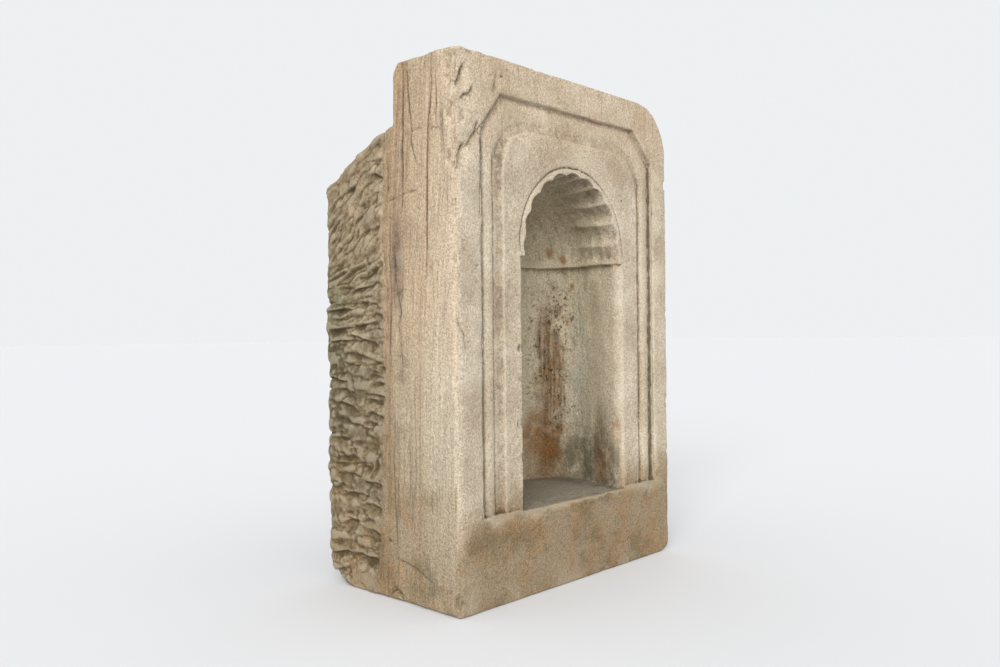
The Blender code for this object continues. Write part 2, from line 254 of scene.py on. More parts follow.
# %% Strokes strewn over the picked part
def strewn_strokes(tree, given, where):
    """Short level strokes at an even pitch, each a little turned and sized."""
    strewn = add_node(tree, "GeometryNodeDistributePointsOnFaces", {
        "Mesh": given["Stone"], "Distance Min": given["Pitch"], "Density Max": 9000.0,
        "Density Factor": where, "Seed": given["Seed"]}, distribute_method="POISSON")
    level = add_node(tree, "ShaderNodeVectorMath", (strewn[1], (0.0, 0.0, 1.0)),
                     operation="CROSS_PRODUCT")[0]
    even = add_node(tree, "ShaderNodeVectorMath", (level,), operation="NORMALIZE")[0]
    sway = add_node(tree, "FunctionNodeRandomValue", {
        "Min": (-0.1, -0.1, -0.42), "Max": (0.1, 0.1, 0.22), "Seed": given["Seed"]},
        data_type="FLOAT_VECTOR")[0]
    heading = add_node(tree, "ShaderNodeVectorMath", (even, sway), operation="ADD")[0]
    turned = add_node(tree, "FunctionNodeAlignRotationToVector", {"Vector": heading},
                      axis="X")[0]
    half = add_node(tree, "ShaderNodeMath", (given["Stroke Length"], 0.5),
                    operation="MULTIPLY")[0]
    other = add_node(tree, "ShaderNodeMath", (half, -1.0), operation="MULTIPLY")[0]
    start = add_node(tree, "ShaderNodeCombineXYZ", (other,))[0]
    end = add_node(tree, "ShaderNodeCombineXYZ", (half,))[0]
    stroke = add_node(tree, "GeometryNodeMeshLine", {
        "Count": 3, "Start Location": start, "Offset": end}, mode="END_POINTS",
        count_mode="TOTAL")[0]
    size = add_node(tree, "FunctionNodeRandomValue", {2: 0.55, 3: 1.25,
                    "Seed": given["Seed"]}, data_type="FLOAT")[1]
    placed = add_node(tree, "GeometryNodeInstanceOnPoints", {
        "Points": strewn[0], "Instance": stroke, "Rotation": turned, "Scale": size})[0]
    return add_node(tree, "GeometryNodeRealizeInstances", (placed,))[0]


# %% How strong the furrow is at a point of the stone
def furrow_strength(tree, given, where, strokes, here):
    """1 on a stroke, falling quickly above it and slowly below it."""
    near = add_node(tree, "GeometryNodeProximity", (strokes,), target_element="EDGES")
    apart = add_node(tree, "ShaderNodeVectorMath", (here, near[0]), operation="SUBTRACT")[0]
    height_off = add_node(tree, "ShaderNodeSeparateXYZ", (apart,))[2]
    above = add_node(tree, "ShaderNodeMath", (height_off, 0.0), operation="GREATER_THAN")[0]
    width = add_node(tree, "ShaderNodeMapRange", {
        0: above, 3: given["Slope Side"], 4: given["Steep Side"]})[0]
    share = add_node(tree, "ShaderNodeMath", (near[1], width), operation="DIVIDE",
                     use_clamp=True)[0]
    rest = add_node(tree, "ShaderNodeMath", (1.0, share), operation="SUBTRACT")[0]
    body = add_node(tree, "ShaderNodeMath", (rest, 1.35), operation="POWER")[0]
    patches = add_node(tree, "ShaderNodeTexNoise", {"Vector": here, "Scale": 22.0})[0]
    patchy = add_node(tree, "ShaderNodeMath", (patches, 1.6), operation="MULTIPLY",
                      use_clamp=True)[0]
    uneven = add_node(tree, "ShaderNodeMath", (patchy, body), operation="MULTIPLY")[0]
    return add_node(tree, "ShaderNodeMath", (uneven, where), operation="MULTIPLY")[0]


# %% The tree of the picks' marks
def pick_tree():
    """The tree itself and the identifiers of its named inputs."""
    tree = bpy.data.node_groups.new("picks marks", "GeometryNodeTree")
    sockets = {}
    for name, kind in (("Stone", "Geometry"), ("Stroke Length", "Float"),
                       ("Pitch", "Float"), ("Depth", "Float"), ("Steep Side", "Float"),
                       ("Slope Side", "Float"), ("Seed", "Int"), ("Finish", "Material")):
        made = tree.interface.new_socket(name, in_out="INPUT",
                                         socket_type="NodeSocket" + kind)
        sockets[name] = made.identifier
    tree.interface.new_socket("Stone", in_out="OUTPUT", socket_type="NodeSocketGeometry")
    given = add_node(tree, "NodeGroupInput")
    here = add_node(tree, "GeometryNodeInputPosition")[0]
    where = add_node(tree, "GeometryNodeInputNamedAttribute", {"Name": "picked"},
                     data_type="FLOAT")[0]
    strokes = strewn_strokes(tree, given, where)
    strength = furrow_strength(tree, given, where, strokes, here)
    sunk = add_node(tree, "ShaderNodeMath", (strength, given["Depth"]), operation="MULTIPLY")[0]
    inwards = add_node(tree, "ShaderNodeMath", (sunk, -1.0), operation="MULTIPLY")[0]
    normal = add_node(tree, "GeometryNodeInputNormal")[0]
    push = add_node(tree, "ShaderNodeVectorMath", {0: normal, "Scale": inwards},
                    operation="SCALE")[0]
    moved = add_node(tree, "GeometryNodeSetPosition", {"Geometry": given["Stone"],
                                                       "Offset": push})[0]
    whole = add_node(tree, "GeometryNodeRealizeInstances", (moved,))[0]
    finished = add_node(tree, "GeometryNodeSetMaterial", {"Geometry": whole,
                                                          "Material": given["Finish"]})[0]
    add_node(tree, "NodeGroupOutput", (finished,))
    return tree, sockets


picks_tree, pick_inputs = pick_tree()
print("picks' marks:", len(picks_tree.nodes), "nodes, inputs", sorted(pick_inputs))

# %% [markdown]
# The strokes on the left side are seen close by, so that side gets fewer
# strewn marks here: its own gouges are cut one by one in a later step.

# %% Cut the strewn marks
sandstone = bpy.data.materials.new("weathered_buff_sandstone")


def give_number(mesh, name, values):
    """Write one number a point as a named attribute."""
    held = mesh.attributes.get(name) or mesh.attributes.new(name, "FLOAT", "POINT")
    held.data.foreach_set("value", values.astype(np.float32))


places = points_of(stone.data)
facing = normals_of(stone.data)
left_side = soft_step(-half_width + 20 * mm, -half_width + 8 * mm, places[:, 0])
picked = tail_weight(places) * soft_step(0.8, 0.4, -facing[:, 2])
picked *= soft_step(0, 25 * mm, places[:, 2])
give_number(stone.data, "picked", picked * (1 - 0.85 * left_side))
marks = stone.modifiers.new("picks marks", "NODES")
marks.node_group = picks_tree
for name, value in (("Stroke Length", 34 * mm), ("Pitch", 21 * mm), ("Depth", 3.2 * mm),
                    ("Steep Side", 3.5 * mm), ("Slope Side", 13 * mm), ("Seed", 7),
                    ("Finish", sandstone)):
    marks[pick_inputs[name]] = value
take_result(stone)
print("strewn marks cut;", len(stone.data.vertices), "points")

# %% [markdown]
# ## Noise that is the same on every run
# Weathering is uneven at every size. A value noise on a lattice, written
# out here, gives the same numbers each time and takes arrays of points, so
# half a million points are moved at once.

# %% Cloudy numbers for arrays of points
def lattice(i, j, k, seed):
    """A repeatable number from -1 to 1 for each corner of a lattice."""
    mixed = (i.astype(np.uint32) * np.uint32(374761393)
             + j.astype(np.uint32) * np.uint32(668265263)
             + k.astype(np.uint32) * np.uint32(2246822519)
             + np.uint32(seed * 97 + 13))
    mixed = (mixed ^ (mixed >> np.uint32(13))) * np.uint32(1274126177)
    mixed = mixed ^ (mixed >> np.uint32(16))
    return (mixed & np.uint32(0xFFFF)) / 32767.5 - 1


def cloud(points, size, seed):
    """Smooth noise from -1 to 1; size is one number or one for each axis."""
    spot = points / np.asarray(size) + 1000.0
    cell = np.floor(spot).astype(np.int64)
    part = spot - cell
    part = part * part * (3 - 2 * part)
    total = np.zeros(len(points))
    for corner in range(8):
        step = np.array([corner & 1, corner >> 1 & 1, corner >> 2])
        weight = np.prod(np.where(step, part, 1 - part), axis=1)
        i, j, k = (cell + step).T
        total += weight * lattice(i, j, k, seed)
    return total


def rough_cloud(points, size, seed, layers=3):
    """Noise with finer and weaker layers added, still about -1 to 1."""
    total = np.zeros(len(points))
    for layer in range(layers):
        total += cloud(points, np.asarray(size) / 2 ** layer, seed + layer) / 1.8 ** layer
    return total / 1.6


print("sample of the noise:", np.round(cloud(places[:3], 20 * mm, 1), 3))

# %% [markdown]
# ## Lines cut in the stone
# Cracks, gouges and the lips of flaked patches are all lines with a depth.
# Two tools make them: a groove, deepest on its line, and a scarp, a sharp
# step on one side that heals away from it. Each works in the flat of one
# face, the sides in (depth, height) and the front in (across, height).

# %% Grooves and scarps
def along_line(flat, line):
    """Distance to a line of points, signed to its right, and share along it."""
    best = np.full(len(flat), 1e9)
    signed = np.zeros(len(flat))
    share = np.zeros(len(flat))
    nodes = np.array(line) * mm
    lengths = np.linalg.norm(np.diff(nodes, axis=0), axis=1)
    done = 0.0
    for a, b, length in zip(nodes, nodes[1:], lengths):
        run = (b - a) / length
        off = flat - a
        t = np.clip(off @ run, 0, length)
        rest = off - np.outer(t, run)
        distance = np.hypot(rest[:, 0], rest[:, 1])
        closer = distance < best
        best = np.where(closer, distance, best)
        side = np.sign(off[:, 0] * run[1] - off[:, 1] * run[0])
        signed = np.where(closer, side * distance, signed)
        share = np.where(closer, (done + t) / lengths.sum(), share)
        done += length
    return best, signed, share


def groove(flat, line, width, depth, ends=0.15):
    """Depth of a V cut along a line, running out at both ends."""
    distance, _, share = along_line(flat, line)
    run_out = soft_step(0, ends, share) * soft_step(1, 1 - ends, share)
    return depth * mm * np.clip(1 - distance / (width * mm), 0, 1) * (0.35 + 0.65 * run_out)


def scarp(flat, line, reach, depth, ends=0.2):
    """Depth of a step along a line: sharp on the line, healed at its reach."""
    distance, signed, share = along_line(flat, line)
    run_out = soft_step(0, ends, share) * soft_step(1, 1 - ends, share)
    fall = soft_step(-0.8 * mm, 0.8 * mm, signed) * np.clip(1 - distance / (reach * mm), 0, 1)
    return depth * mm * fall * run_out


def side_map(points):
    """(depth, height) of each point, a little shaken so that no line is ruled."""
    shake = np.outer(rough_cloud(points, 9 * mm, 21), (0.9 * mm, 0.6 * mm))
    return np.stack([depth_of(points), points[:, 2]], axis=1) + shake


def front_map(points):
    """(across, height) of each point, shaken in the same way."""
    return points[:, [0, 2]] + np.outer(rough_cloud(points, 9 * mm, 22), (mm, mm))


# %% Gouges of the pick on the left side, as (depth, height) in mm
left_gouges = [
    [(165, 598), (147, 597), (125, 608), (106, 608)],
    [(206, 568), (233, 559)], [(198, 537), (172, 545)], [(141, 571), (167, 578)],
    [(228, 530), (258, 515), (274, 498)],
    [(200, 503), (227, 492), (259, 471), (272, 455)],
    [(178, 457), (220, 446), (246, 430)], [(234, 464), (264, 445)],
    [(160, 451), (209, 433)], [(216, 424), (242, 426)],
    [(152, 429), (181, 432)], [(175, 401), (214, 403)], [(221, 393), (270, 393)],
    [(187, 368), (219, 372)], [(238, 362), (270, 362)], [(144, 384), (172, 386)],
    [(167, 346), (196, 352), (232, 357)], [(152, 317), (197, 328), (228, 332)],
    [(223, 279), (258, 279)], [(213, 252), (241, 260), (263, 263)],
    [(161, 306), (186, 311)], [(190, 228), (228, 236), (255, 238)],
    [(161, 236), (181, 236)], [(190, 208), (211, 207)], [(222, 207), (262, 211)],
    [(170, 175), (199, 173)], [(208, 160), (245, 160)], [(161, 187), (173, 168)],
    [(173, 147), (195, 155)], [(191, 134), (241, 130)], [(143, 118), (187, 122)],
    [(217, 103), (232, 104)], [(205, 96), (235, 90)], [(169, 99), (204, 99)],
    [(150, 79), (180, 87)], [(154, 48), (218, 47)], [(221, 66), (256, 62)],
    [(215, 185), (250, 182)], [(150, 262), (178, 268)], [(226, 305), (256, 302)],
]


def gouge(flat, line, depth):
    """A pick's gouge: steep on its upper side, a long slope below it."""
    distance, signed, share = along_line(flat, line)
    upper = np.sign(line[-1][0] - line[0][0]) * signed < 0
    width = np.where(upper, 4.0 * mm, 16 * mm)
    body = np.clip(1 - distance / width, 0, 1) ** 1.2
    return depth * mm * body * (0.45 + 0.55 * np.sin(np.pi * share))


def cut_gouges(points):
    """How deep the left side's gouges reach at each point."""
    flat = np.stack([depth_of(points), points[:, 2]], axis=1)
    flat = flat + np.stack([cloud(points, 14 * mm, 3), cloud(points, 14 * mm, 4)],
                           axis=1) * 1.6 * mm
    deepest = np.zeros(len(points))
    for number, line in enumerate(left_gouges):
        depth = 5.0 + 1.8 * math.sin(number * 2.4)
        deepest = np.maximum(deepest, gouge(flat, line, depth))
    return deepest


def leaning(points, slope):
    """The points lifted so that level noise falls to the back in the upper tail."""
    upper = soft_step(330 * mm, 480 * mm, points[:, 2])
    return points + np.outer(slope * upper * (depth_of(points) - slab_depth), (0, 0, 1))


def ledges(points):
    """Small overhung steps, one above the other, left between the gouges."""
    wander = 12 * mm * cloud(points, 44 * mm, 201) + 4 * mm * cloud(points, 20 * mm, 202)
    phase = (leaning(points, 0.5)[:, 2] + wander) / (25 * mm)
    share = phase - np.floor(phase)
    tooth = share ** 1.8 * soft_step(1.0, 0.88, share)
    strength = soft_step(-0.1, 0.4, cloud(points, (36 * mm, 36 * mm, 20 * mm), 203))
    depth = 5.5 - 2.5 * soft_step(400 * mm, 500 * mm, points[:, 2])
    return depth * mm * tooth * strength


def creases(points):
    """A net of short sharp creases between the chunks that the pick broke off."""
    folds = np.abs(rough_cloud(leaning(points, 0.6), (30 * mm, 30 * mm, 17 * mm), 211))
    return 2.2 * mm * np.clip(1 - folds / 0.3, 0, 1) ** 1.3


print(len(left_gouges), "gouges on the left side")

# %% [markdown]
# ## Cracks, flakes and lost edges
# The bedding stands upright in this block, so it splits in sheets parallel
# to the front: upright cracks on the sides, and thin flakes lost from the
# face near the top left corner. They are listed as they lie on the stone.

# %% The list of cracks and flakes, in mm
side_cracks = [  # (depth, height) lines, half width, depth
    ([(100.4, 720), (100.4, 666), (102.2, 602), (102.2, 550), (104, 520)], 3.0, 4.0),
    ([(92.2, 719), (89.5, 678), (85.8, 653), (82.5, 626), (83.6, 610), (74, 581)], 2.2, 2.0),
    ([(40, 720), (45, 669), (51.5, 620), (54, 563), (55, 500), (57, 430)], 2.6, 2.0),
    ([(33, 716), (36, 690), (34, 668), (38, 640)], 2.2, 1.4),
    ([(120, 480), (117, 430), (106, 385), (113, 372), (105, 325), (102, 270)], 2.2, 1.8),
    ([(128, 520), (131, 460), (127, 400), (131, 340), (126, 300)], 2.4, 1.8),
    ([(122, 250), (126, 190), (123, 130), (120, 70)], 2.2, 1.4),
    ([(95, 240), (92, 180), (94, 110)], 2.0, 1.0), ([(83, 290), (80, 220), (81, 150)], 2.0, 0.9),
    ([(99, 628), (90, 621), (81, 625), (61, 627)], 1.8, 1.2),
    ([(50, 617), (41, 623), (24, 620)], 1.6, 1.0),
    ([(137, 538), (112, 541), (101, 545), (74, 547)], 2.0, 1.6),
    ([(121, 58), (94, 53), (76, 49), (58, 40), (48, 37)], 1.8, 1.6),
    ([(22, 655), (24, 620), (21, 577), (22, 519)], 2.4, 1.5),
]
side_scarps = [  # (depth, height) lines, reach, depth
    ([(139, 607), (138, 574), (135, 543)], 16, 2.2),
    ([(133, 0), (133, 6), (125, 12), (116, 9), (110, 0)], 9, 5.0),
    ([(151, 503), (147, 475), (141, 430), (141, 364), (148, 300)], 10, 1.6),
]
front_flakes = [  # (across, height) lines, reach, depth
    ([(-238, 664), (-231, 676), (-226, 690), (-219, 706)], 20, 6.5),
    ([(-232, 650), (-223, 661), (-213, 665), (-206, 680)], 22, 5.0),
    ([(-222, 590), (-212, 609), (-204, 618), (-199, 636)], 16, 6.0),
    ([(-240, 556), (-234, 574), (-229, 588), (-220, 606)], 18, 5.0),
    ([(-172, 668), (-166, 690), (-160, 708)], 14, 2.2),
]
front_cracks_and_top_step = [  # (across, height) lines, half width, depth
    ([(-235.6, 378), (-234, 369), (-229, 360), (-225.5, 344), (-224, 335)], 1.3, 1.2),
    # Along the top border's step: a shallow groove, drawn dark as a painted shadow under the
    # border
    ([(-154, 674), (-127, 674), (-64, 674), (-30, 674.5)], 2.0, 0.8),
    ([(26, 671.5), (79, 673.5), (143.5, 673.4), (164, 645), (187, 630)], 1.8, 0.3),
    ([(-37, 641), (-27, 625)], 3.0, 1.2),
]
arch_radius, arch_height = 118, 477.2  # mm, of the line cut round the arch


def arch_line(first, last):
    """Points along the line round the arch, between two angles in degrees."""
    turns = [math.radians(turn) for turn in range(first, last, -6)]
    return [(math.cos(turn) * arch_radius, arch_height + math.sin(turn) * arch_radius)
            for turn in turns]


panel_left, panel_right = 73.5 - half_width / mm, half_width / mm - 69
# Lines along the moulding steps: each is cut as a groove, and the last column is how dark the
# painted shade in the step is
moulding_steps = [  # (across, height) lines along the mouldings, half width, depth, how dark
    ([(-170, 652), (-193, 622), (-193, 560), (-194, 508)], 3.4, 4.0, 0.85),
    ([(-154, 673), (-170, 652)], 3.0, 2.0, 0.2),
    ([(-193, 508), (-193, 330), (-192.5, 120)], 3.0, 3.0, 0.6),
    ([(panel_left, 600), (panel_left, 120)], 3.4, 2.6, 0.35),
    ([(187, 630), (198, 618), (198, 420), (198, 120)], 3.2, 3.4, 0.55),
    ([(panel_right, 600), (panel_right, 120)], 3.6, 1.6, 0.1),
    (arch_line(184, 40), 1.8, 1.8, 0.65), (arch_line(40, -6), 1.8, 1.0, 0.15),
]
# across, height, radius, how deep
pits = [(-152, 697, 4.5, 2.4), (164, 677, 2.5, 1.5), (118, 560, 3, 2.2), (-10, 655, 3, 0.8)]
edge_chips = [  # across, height, depth, radius, how deep
    (243, 385, 0, 9, 5), (241, 245, 0, 7, 3), (242, 163, 0, 8, 4), (239, 598, 0, 9, 2.5),
    (-239, 452, 4, 7, 2.2), (-239, 300, 2, 8, 1.8), (-121, 338, 0, 7, 1.6),
    (-121, 236, 0, 8, 1.5), (-120, 296, 0, 6, 1.3), (-119, 190, 0, 6, 1.2),
    (-60, 720, 8, 14, 1.5), (110, 720, 30, 18, 2.0), (-212, 720, 4, 12, 1.6),
    (-239, 20, 2, 12, 3.5), (60, 0, 2, 10, 2.5), (-239, 690, 0, 26, 4.5),
    (-239, 636, 0, 22, 5), (-239, 585, 0, 24, 5), (-239, 515, 2, 16, 2.5),
]
print(len(side_cracks) + len(front_cracks_and_top_step), "cracks,", len(edge_chips), "chipped edges")

# %% [markdown]
# ## Weathering the whole block
# All the moves are added up for each point and made once. Edges are taken
# back by mixing in a much smoothed copy, more in some places than others,
# because a worn arris is never even. What would pass the block's measured
# box is brought back to it at the end.

# %% Wear, cut and weather
def smoothed_places(item, rounds):
    """The points of an object after so many rounds of smoothing."""
    step = item.modifiers.new("wear", "SMOOTH")
    step.factor = 0.5
    step.iterations = rounds_for(rounds)
    worn = evaluated_mesh(item)
    places = points_of(worn)
    bpy.data.meshes.remove(worn)
    item.modifiers.clear()
    return places


def wear_edges(points, worn):
    """Mix in the smoothed copy where rain and hands rubbed the edges."""
    inside = inside_weight(points)
    uneven = soft_step(-0.25, 0.75, rough_cloud(points, 34 * mm, 11))
    amount = 0.1 + 0.6 * uneven
    sheltered = soft_step(half_width - 12 * mm, half_width, points[:, 0])
    sheltered = np.maximum(sheltered, soft_step(height - 15 * mm, height, points[:, 2]))
    amount *= 1 - 0.7 * sheltered
    amount *= (1 - 0.93 * front_field(points)) * (1 - 0.8 * inside)
    return points + (worn - points) * amount[:, None]


left, right = (0, -1, low.x), (0, 1, high.x)  # planes: axis, way out, where
front_plane, top_plane, foot_plane = (1, -1, low.y), (2, 1, high.z), (2, -1, 0.0)
arrises = [(left, front_plane, 10 * mm), (right, front_plane, 2.5 * mm),
           (top_plane, front_plane, 2 * mm), (foot_plane, front_plane, 2 * mm),
           (right, foot_plane, 26 * mm), (left, foot_plane, 7 * mm)]


def round_arrises(points):
    """Round the long arrises like a fillet, more in some places."""
    points = points.copy()
    uneven = 1 + 0.35 * rough_cloud(points, 40 * mm, 191)
    for first, second, radius in arrises:
        size = radius * uneven
        near = [np.clip(size - np.abs(plane - points[:, axis]), 0, None)
                for axis, _, plane in (first, second)]
        length = np.maximum(np.hypot(*near), 1e-9)
        corner = (near[0] > 0) & (near[1] > 0) & (length > size)
        pull = np.where(corner, 1 - size / length, 0)
        for (axis, way, _), part in zip((first, second), near):
            points[:, axis] -= way * part * pull
    return points


def weather(points, facing):
    """How far each point goes in, as metres along its normal."""
    depth = depth_of(points)
    x, z = points[:, 0], points[:, 2]
    tail = tail_weight(points)
    inside = inside_weight(points)
    sides = side_weight(points, facing)
    front = soft_step(0.5, 0.85, -facing[:, 1]) * soft_step(22 * mm, 14 * mm, depth)
    on_left = np.where(x < 0, sides, 0)
    in_side, in_front = side_map(points), front_map(points)
    sunk = np.zeros(len(points))
    # Bedding: thin upright sheets on the dressed sides, finer to the front
    beds = rough_cloud(points, (140 * mm, 5 * mm, 70 * mm), 31, 2)
    broad_beds = cloud(points, (160 * mm, 17 * mm, 90 * mm), 33)
    where_split = soft_step(-0.5, 0.5, rough_cloud(points, 90 * mm, 35))
    sunk += sides * (1 - tail) * mm * (0.8 * beds * where_split + 1.1 * broad_beds)
    for line, width, cut in side_cracks:
        sunk += on_left * groove(in_side, line, width, cut)
    for line, reach, cut in side_scarps:
        sunk += on_left * scarp(in_side, line, reach, cut)
    sunk += tail * (ledges(points) + on_left * (cut_gouges(points) + creases(points)))
    for line, reach, cut in front_flakes:
        sunk += front * scarp(in_front, line, reach, cut, 0.3)
    for line, width, cut in front_cracks_and_top_step:
        sunk += front * groove(in_front, line, width, cut)
    for line, width, cut, _ in moulding_steps:
        sunk += front * groove(in_front, line, width, cut, 0.05)
    for across, up, size, cut in pits:
        away = np.hypot(x - across * mm, z - up * mm) / (size * mm)
        sunk += front * cut * mm * soft_step(1, 0.3, away)
    for across, up, back, size, cut in edge_chips:
        centre = np.array((across, back, up)) * mm + np.array((0, low.y, 0))
        away = np.linalg.norm(points - centre, axis=1) / (size * mm)
        sunk += cut * mm * soft_step(1.0, 0.55, away + 0.15 * cloud(points, 6 * mm, 41))
    # Rubbed and pitted faces
    unseen = soft_step(0.1, 0.6, facing[:, 1]) * (1 - inside)
    face = 0.6 * rough_cloud(points, (24 * mm, 24 * mm, 38 * mm), 51)
    grain = 0.36 * rough_cloud(points, 5 * mm, 55, 2) * (1 - unseen)
    sunk += (face + grain) * mm
    sunk += inside * 0.8 * mm * rough_cloud(points, (18 * mm, 18 * mm, 30 * mm), 61)
    rough = 1.9 * rough_cloud(points, 22 * mm, 71)
    rough += 0.6 * rough_cloud(points, 6 * mm, 75, 2) * (1 - unseen)
    sunk += tail * (rough - 2.6) * mm
    top = soft_step(0.4, 0.8, facing[:, 2]) * soft_step(shoulder, height - 20 * mm, z)
    sunk += top * mm * (2.2 * soft_step(0, 0.9, rough_cloud(points, 20 * mm, 81)) - 1.4)
    under = soft_step(0.6, 0.9, -facing[:, 2]) * soft_step(20 * mm, 5 * mm, z)
    return sunk * (1 - under)


def drift(points):
    """A slight sideways wander, so that no long edge stays ruled."""
    moved = np.stack([rough_cloud(points, 26 * mm, seed) for seed in (91, 95, 99)], axis=1)
    moved[:, 1] *= 0.3
    moved[:, 2] *= soft_step(0, 15 * mm, points[:, 2])
    return moved * 1.15 * mm


places = points_of(stone.data)
facing = normals_of(stone.data)
worn = smoothed_places(stone, 16)
upper_frame = soft_step(600 * mm, 650 * mm, places[:, 2])  # the most worn part of it
deepen = front_field(places) * (1 - inside_weight(places)) * (0.8 - 0.7 * upper_frame)
deepen += hood_weight(places)
deeper = (places - smoothed_places(stone, 40)) * deepen[:, None]
places = round_arrises(wear_edges(places, worn) + deeper)
sunk = weather(places, facing)
weathered = places - facing * sunk[:, None] + drift(places)
weathered = np.clip(weathered, np.array(low), np.array(high))
foot = (facing[:, 2] < -0.9) & (places[:, 2] < 0.3 * mm)
weathered[foot, 2] = 0.0
stone.data.vertices.foreach_set("co", weathered.astype(np.float32).ravel())
stone.data.update()
print("deepest cut", round(float(sunk.max() / mm), 1), "mm")

# %% [markdown]
# ## Bringing the count down
# The relief was worked on far more faces than a part may keep. The Decimate
# modifier merges those that lie flat and leaves the rest to edges and cuts.

# %% Thin the mesh
most_triangles = 186000
margin = 0.05 * mm  # kept inside the block's box
count = sum(len(face.vertices) - 2 for face in stone.data.polygons)
thin = stone.modifiers.new("thin", "DECIMATE")
thin.ratio = min(1.0, most_triangles / count)
thin.use_collapse_triangulate = True
take_result(stone)
places = np.clip(points_of(stone.data), np.array(low) + margin * np.array((1, 1, 0)),
                 np.array(high) - margin)
stone.data.vertices.foreach_set("co", places.astype(np.float32).ravel())
stone.data.update()
stone.data.shade_smooth()
print("thinned from", count, "to", len(stone.data.polygons), "triangles")

# %% [markdown]
# ## What the stains and the painted light need to know
# Colour on old stone follows its story: the beds it was laid down in, the
# damp that rose in the plinth, the soot and rust of a lamp niche, the moss
# on the side that was out of the sun. Painted light and shade stand beside
# these: a painted shade at the foot of the tail, a painted light that makes
# the niche paler, painted shade in the hollows and along the moulding steps,
# and a painted highlight on the ridges. Each is a smooth weight, held as a
# named attribute of the mesh, and the material breaks it up with noise.

# %% Weights for the stains and the painted light and shade
def bed_of(points):
    """Depth in the bedding, whose sheets lean a little in the upper block."""
    z = points[:, 2]
    lean = 0.086 * np.clip(height - z, 0, 360 * mm) + 0.02 * np.clip(360 * mm - z, 0, 1)
    return depth_of(points) - lean


def patch(points, centre, size, seed, ragged=0.35):
    """A ragged blot: 1 in its middle, 0 outside its size, in mm from the front."""
    spot = np.array(centre) * mm + np.array((0, low.y, 0))
    away = np.linalg.norm((points - spot) / (np.array(size) * mm), axis=1)
    away = away + ragged * rough_cloud(points, 22 * mm, seed)
    return soft_step(1.0, 0.25, away)


def stain_and_painted_light_weights(points, facing):
    """The weight of each stain, and of the painted shade and painted light, at each point, by
    name.
    """
    depth, x, z = depth_of(points), points[:, 0], points[:, 2]
    inside = inside_weight(points)
    sides = side_weight(points, facing)
    tail = tail_weight(points)
    front = soft_step(0.2, 0.7, -facing[:, 1]) * soft_step(24 * mm, 16 * mm, depth)
    below_hood = soft_step(ledge_height + 4 * mm, ledge_height - 6 * mm, z)
    weights = {"bed": bed_of(points), "tail": tail}
    # Inside the niche: a painted light that makes the niche and its hood paler than the face,
    # stronger higher up, and the ground of the niche's own mottle
    weights["niche"] = inside * soft_step(8 * mm, 60 * mm, depth) * (
        0.7 + 0.3 * soft_step(260 * mm, 420 * mm, z))
    weights["side"] = np.clip(sides * (1 - tail), 0, 1)
    ragged = 30 * mm * rough_cloud(points, 60 * mm, 101)
    to_left = 45 * mm * soft_step(-175 * mm, -half_width, x)
    weights["damp"] = np.clip(
        front * soft_step(185 * mm, 105 * mm, z + ragged + to_left)
        + 0.8 * (1 - front) * (1 - inside) * soft_step(300 * mm, 30 * mm, z + ragged), 0, 1)
    weights["rust"] = inside * np.clip(below_hood * (
        patch(points, (100, 158, 165), (54, 48, 95), 111, 0.5)
        + 0.7 * patch(points, (118, 150, 270), (26, 30, 190), 112, 0.5)
        + 0.6 * patch(points, (124, 42, 150), (34, 44, 34), 113, 0.5)), 0, 1)
    weights["soot"] = inside * np.clip(below_hood * (
        patch(points, (118, 148, 275), (29, 30, 165), 121, 0.6)
        + 0.6 * patch(points, (112, 152, 330), (30, 26, 110), 122, 0.6)
        + 0.45 * patch(points, (122, 44, 205), (22, 36, 70), 123, 0.5)), 0, 1)
    weights["bloom"] = inside * below_hood * np.clip(
        patch(points, (136, 100, 270), (30, 36, 200), 131, 0.2), 0, 1)
    weights["olive"] = inside * soft_step(90 * mm, 116 * mm, x) * soft_step(
        250 * mm, 150 * mm, z + ragged)
    spots = [(135, 115, 433, 6), (126, 142, 396, 7), (135, 124, 375, 7), (109, 158, 231, 6),
             (107, 159, 218, 5), (99, 163, 192, 6), (106, 139, 489, 8), (119, 121, 476, 11),
             (95, 165, 160, 7), (118, 150, 300, 5), (113, 8, 205, 14)]
    weights["lichen"] = inside * np.clip(sum(
        patch(points, (a, b, c), (size, size, 1.2 * size), 150 + number, 0.9)
        for number, (a, b, c, size) in enumerate(spots)), 0, 1)
    weights["specks"] = inside * below_hood * soft_step(18 * mm, 40 * mm, depth) * (
        patch(points, (115, 140, 300), (55, 75, 240), 161)
        * soft_step(-0.3, 0.4, rough_cloud(points, 26 * mm, 162)))
    weights["floor"] = inside * soft_step(0.5, 0.9, facing[:, 2]) * soft_step(
        floor_height + 12 * mm, floor_height + 4 * mm, z)
    weights["grey"] = np.where(x < 0, sides, 0) * np.clip(
        patch(points, (-239, 116, 455), (40, 17, 110), 181, 0.3)
        + 0.6 * patch(points, (-239, 104, 600), (40, 7, 110), 182, 0.3), 0, 1)
    weights["moss"] = tail * (0.4 + 0.6 * soft_step(560 * mm, 380 * mm, z)) * np.clip(
        0.35 + 0.65 * soft_step(200 * mm, 275 * mm, depth)
        + 0.4 * rough_cloud(points, 60 * mm, 141), 0, 1)
    # Painted shade: the tail darker towards its foot
    weights["shade"] = tail * soft_step(460 * mm, 130 * mm, z + 2 * ragged)
    weights["vein"] = weights["side"] * np.where(x < 0, 1.0, 0.5)
    weights["vein"] *= soft_step(200 * mm, 420 * mm, z)
    weights["vein"] += 0.8 * front * soft_step(540 * mm, 690 * mm, z)
    return weights


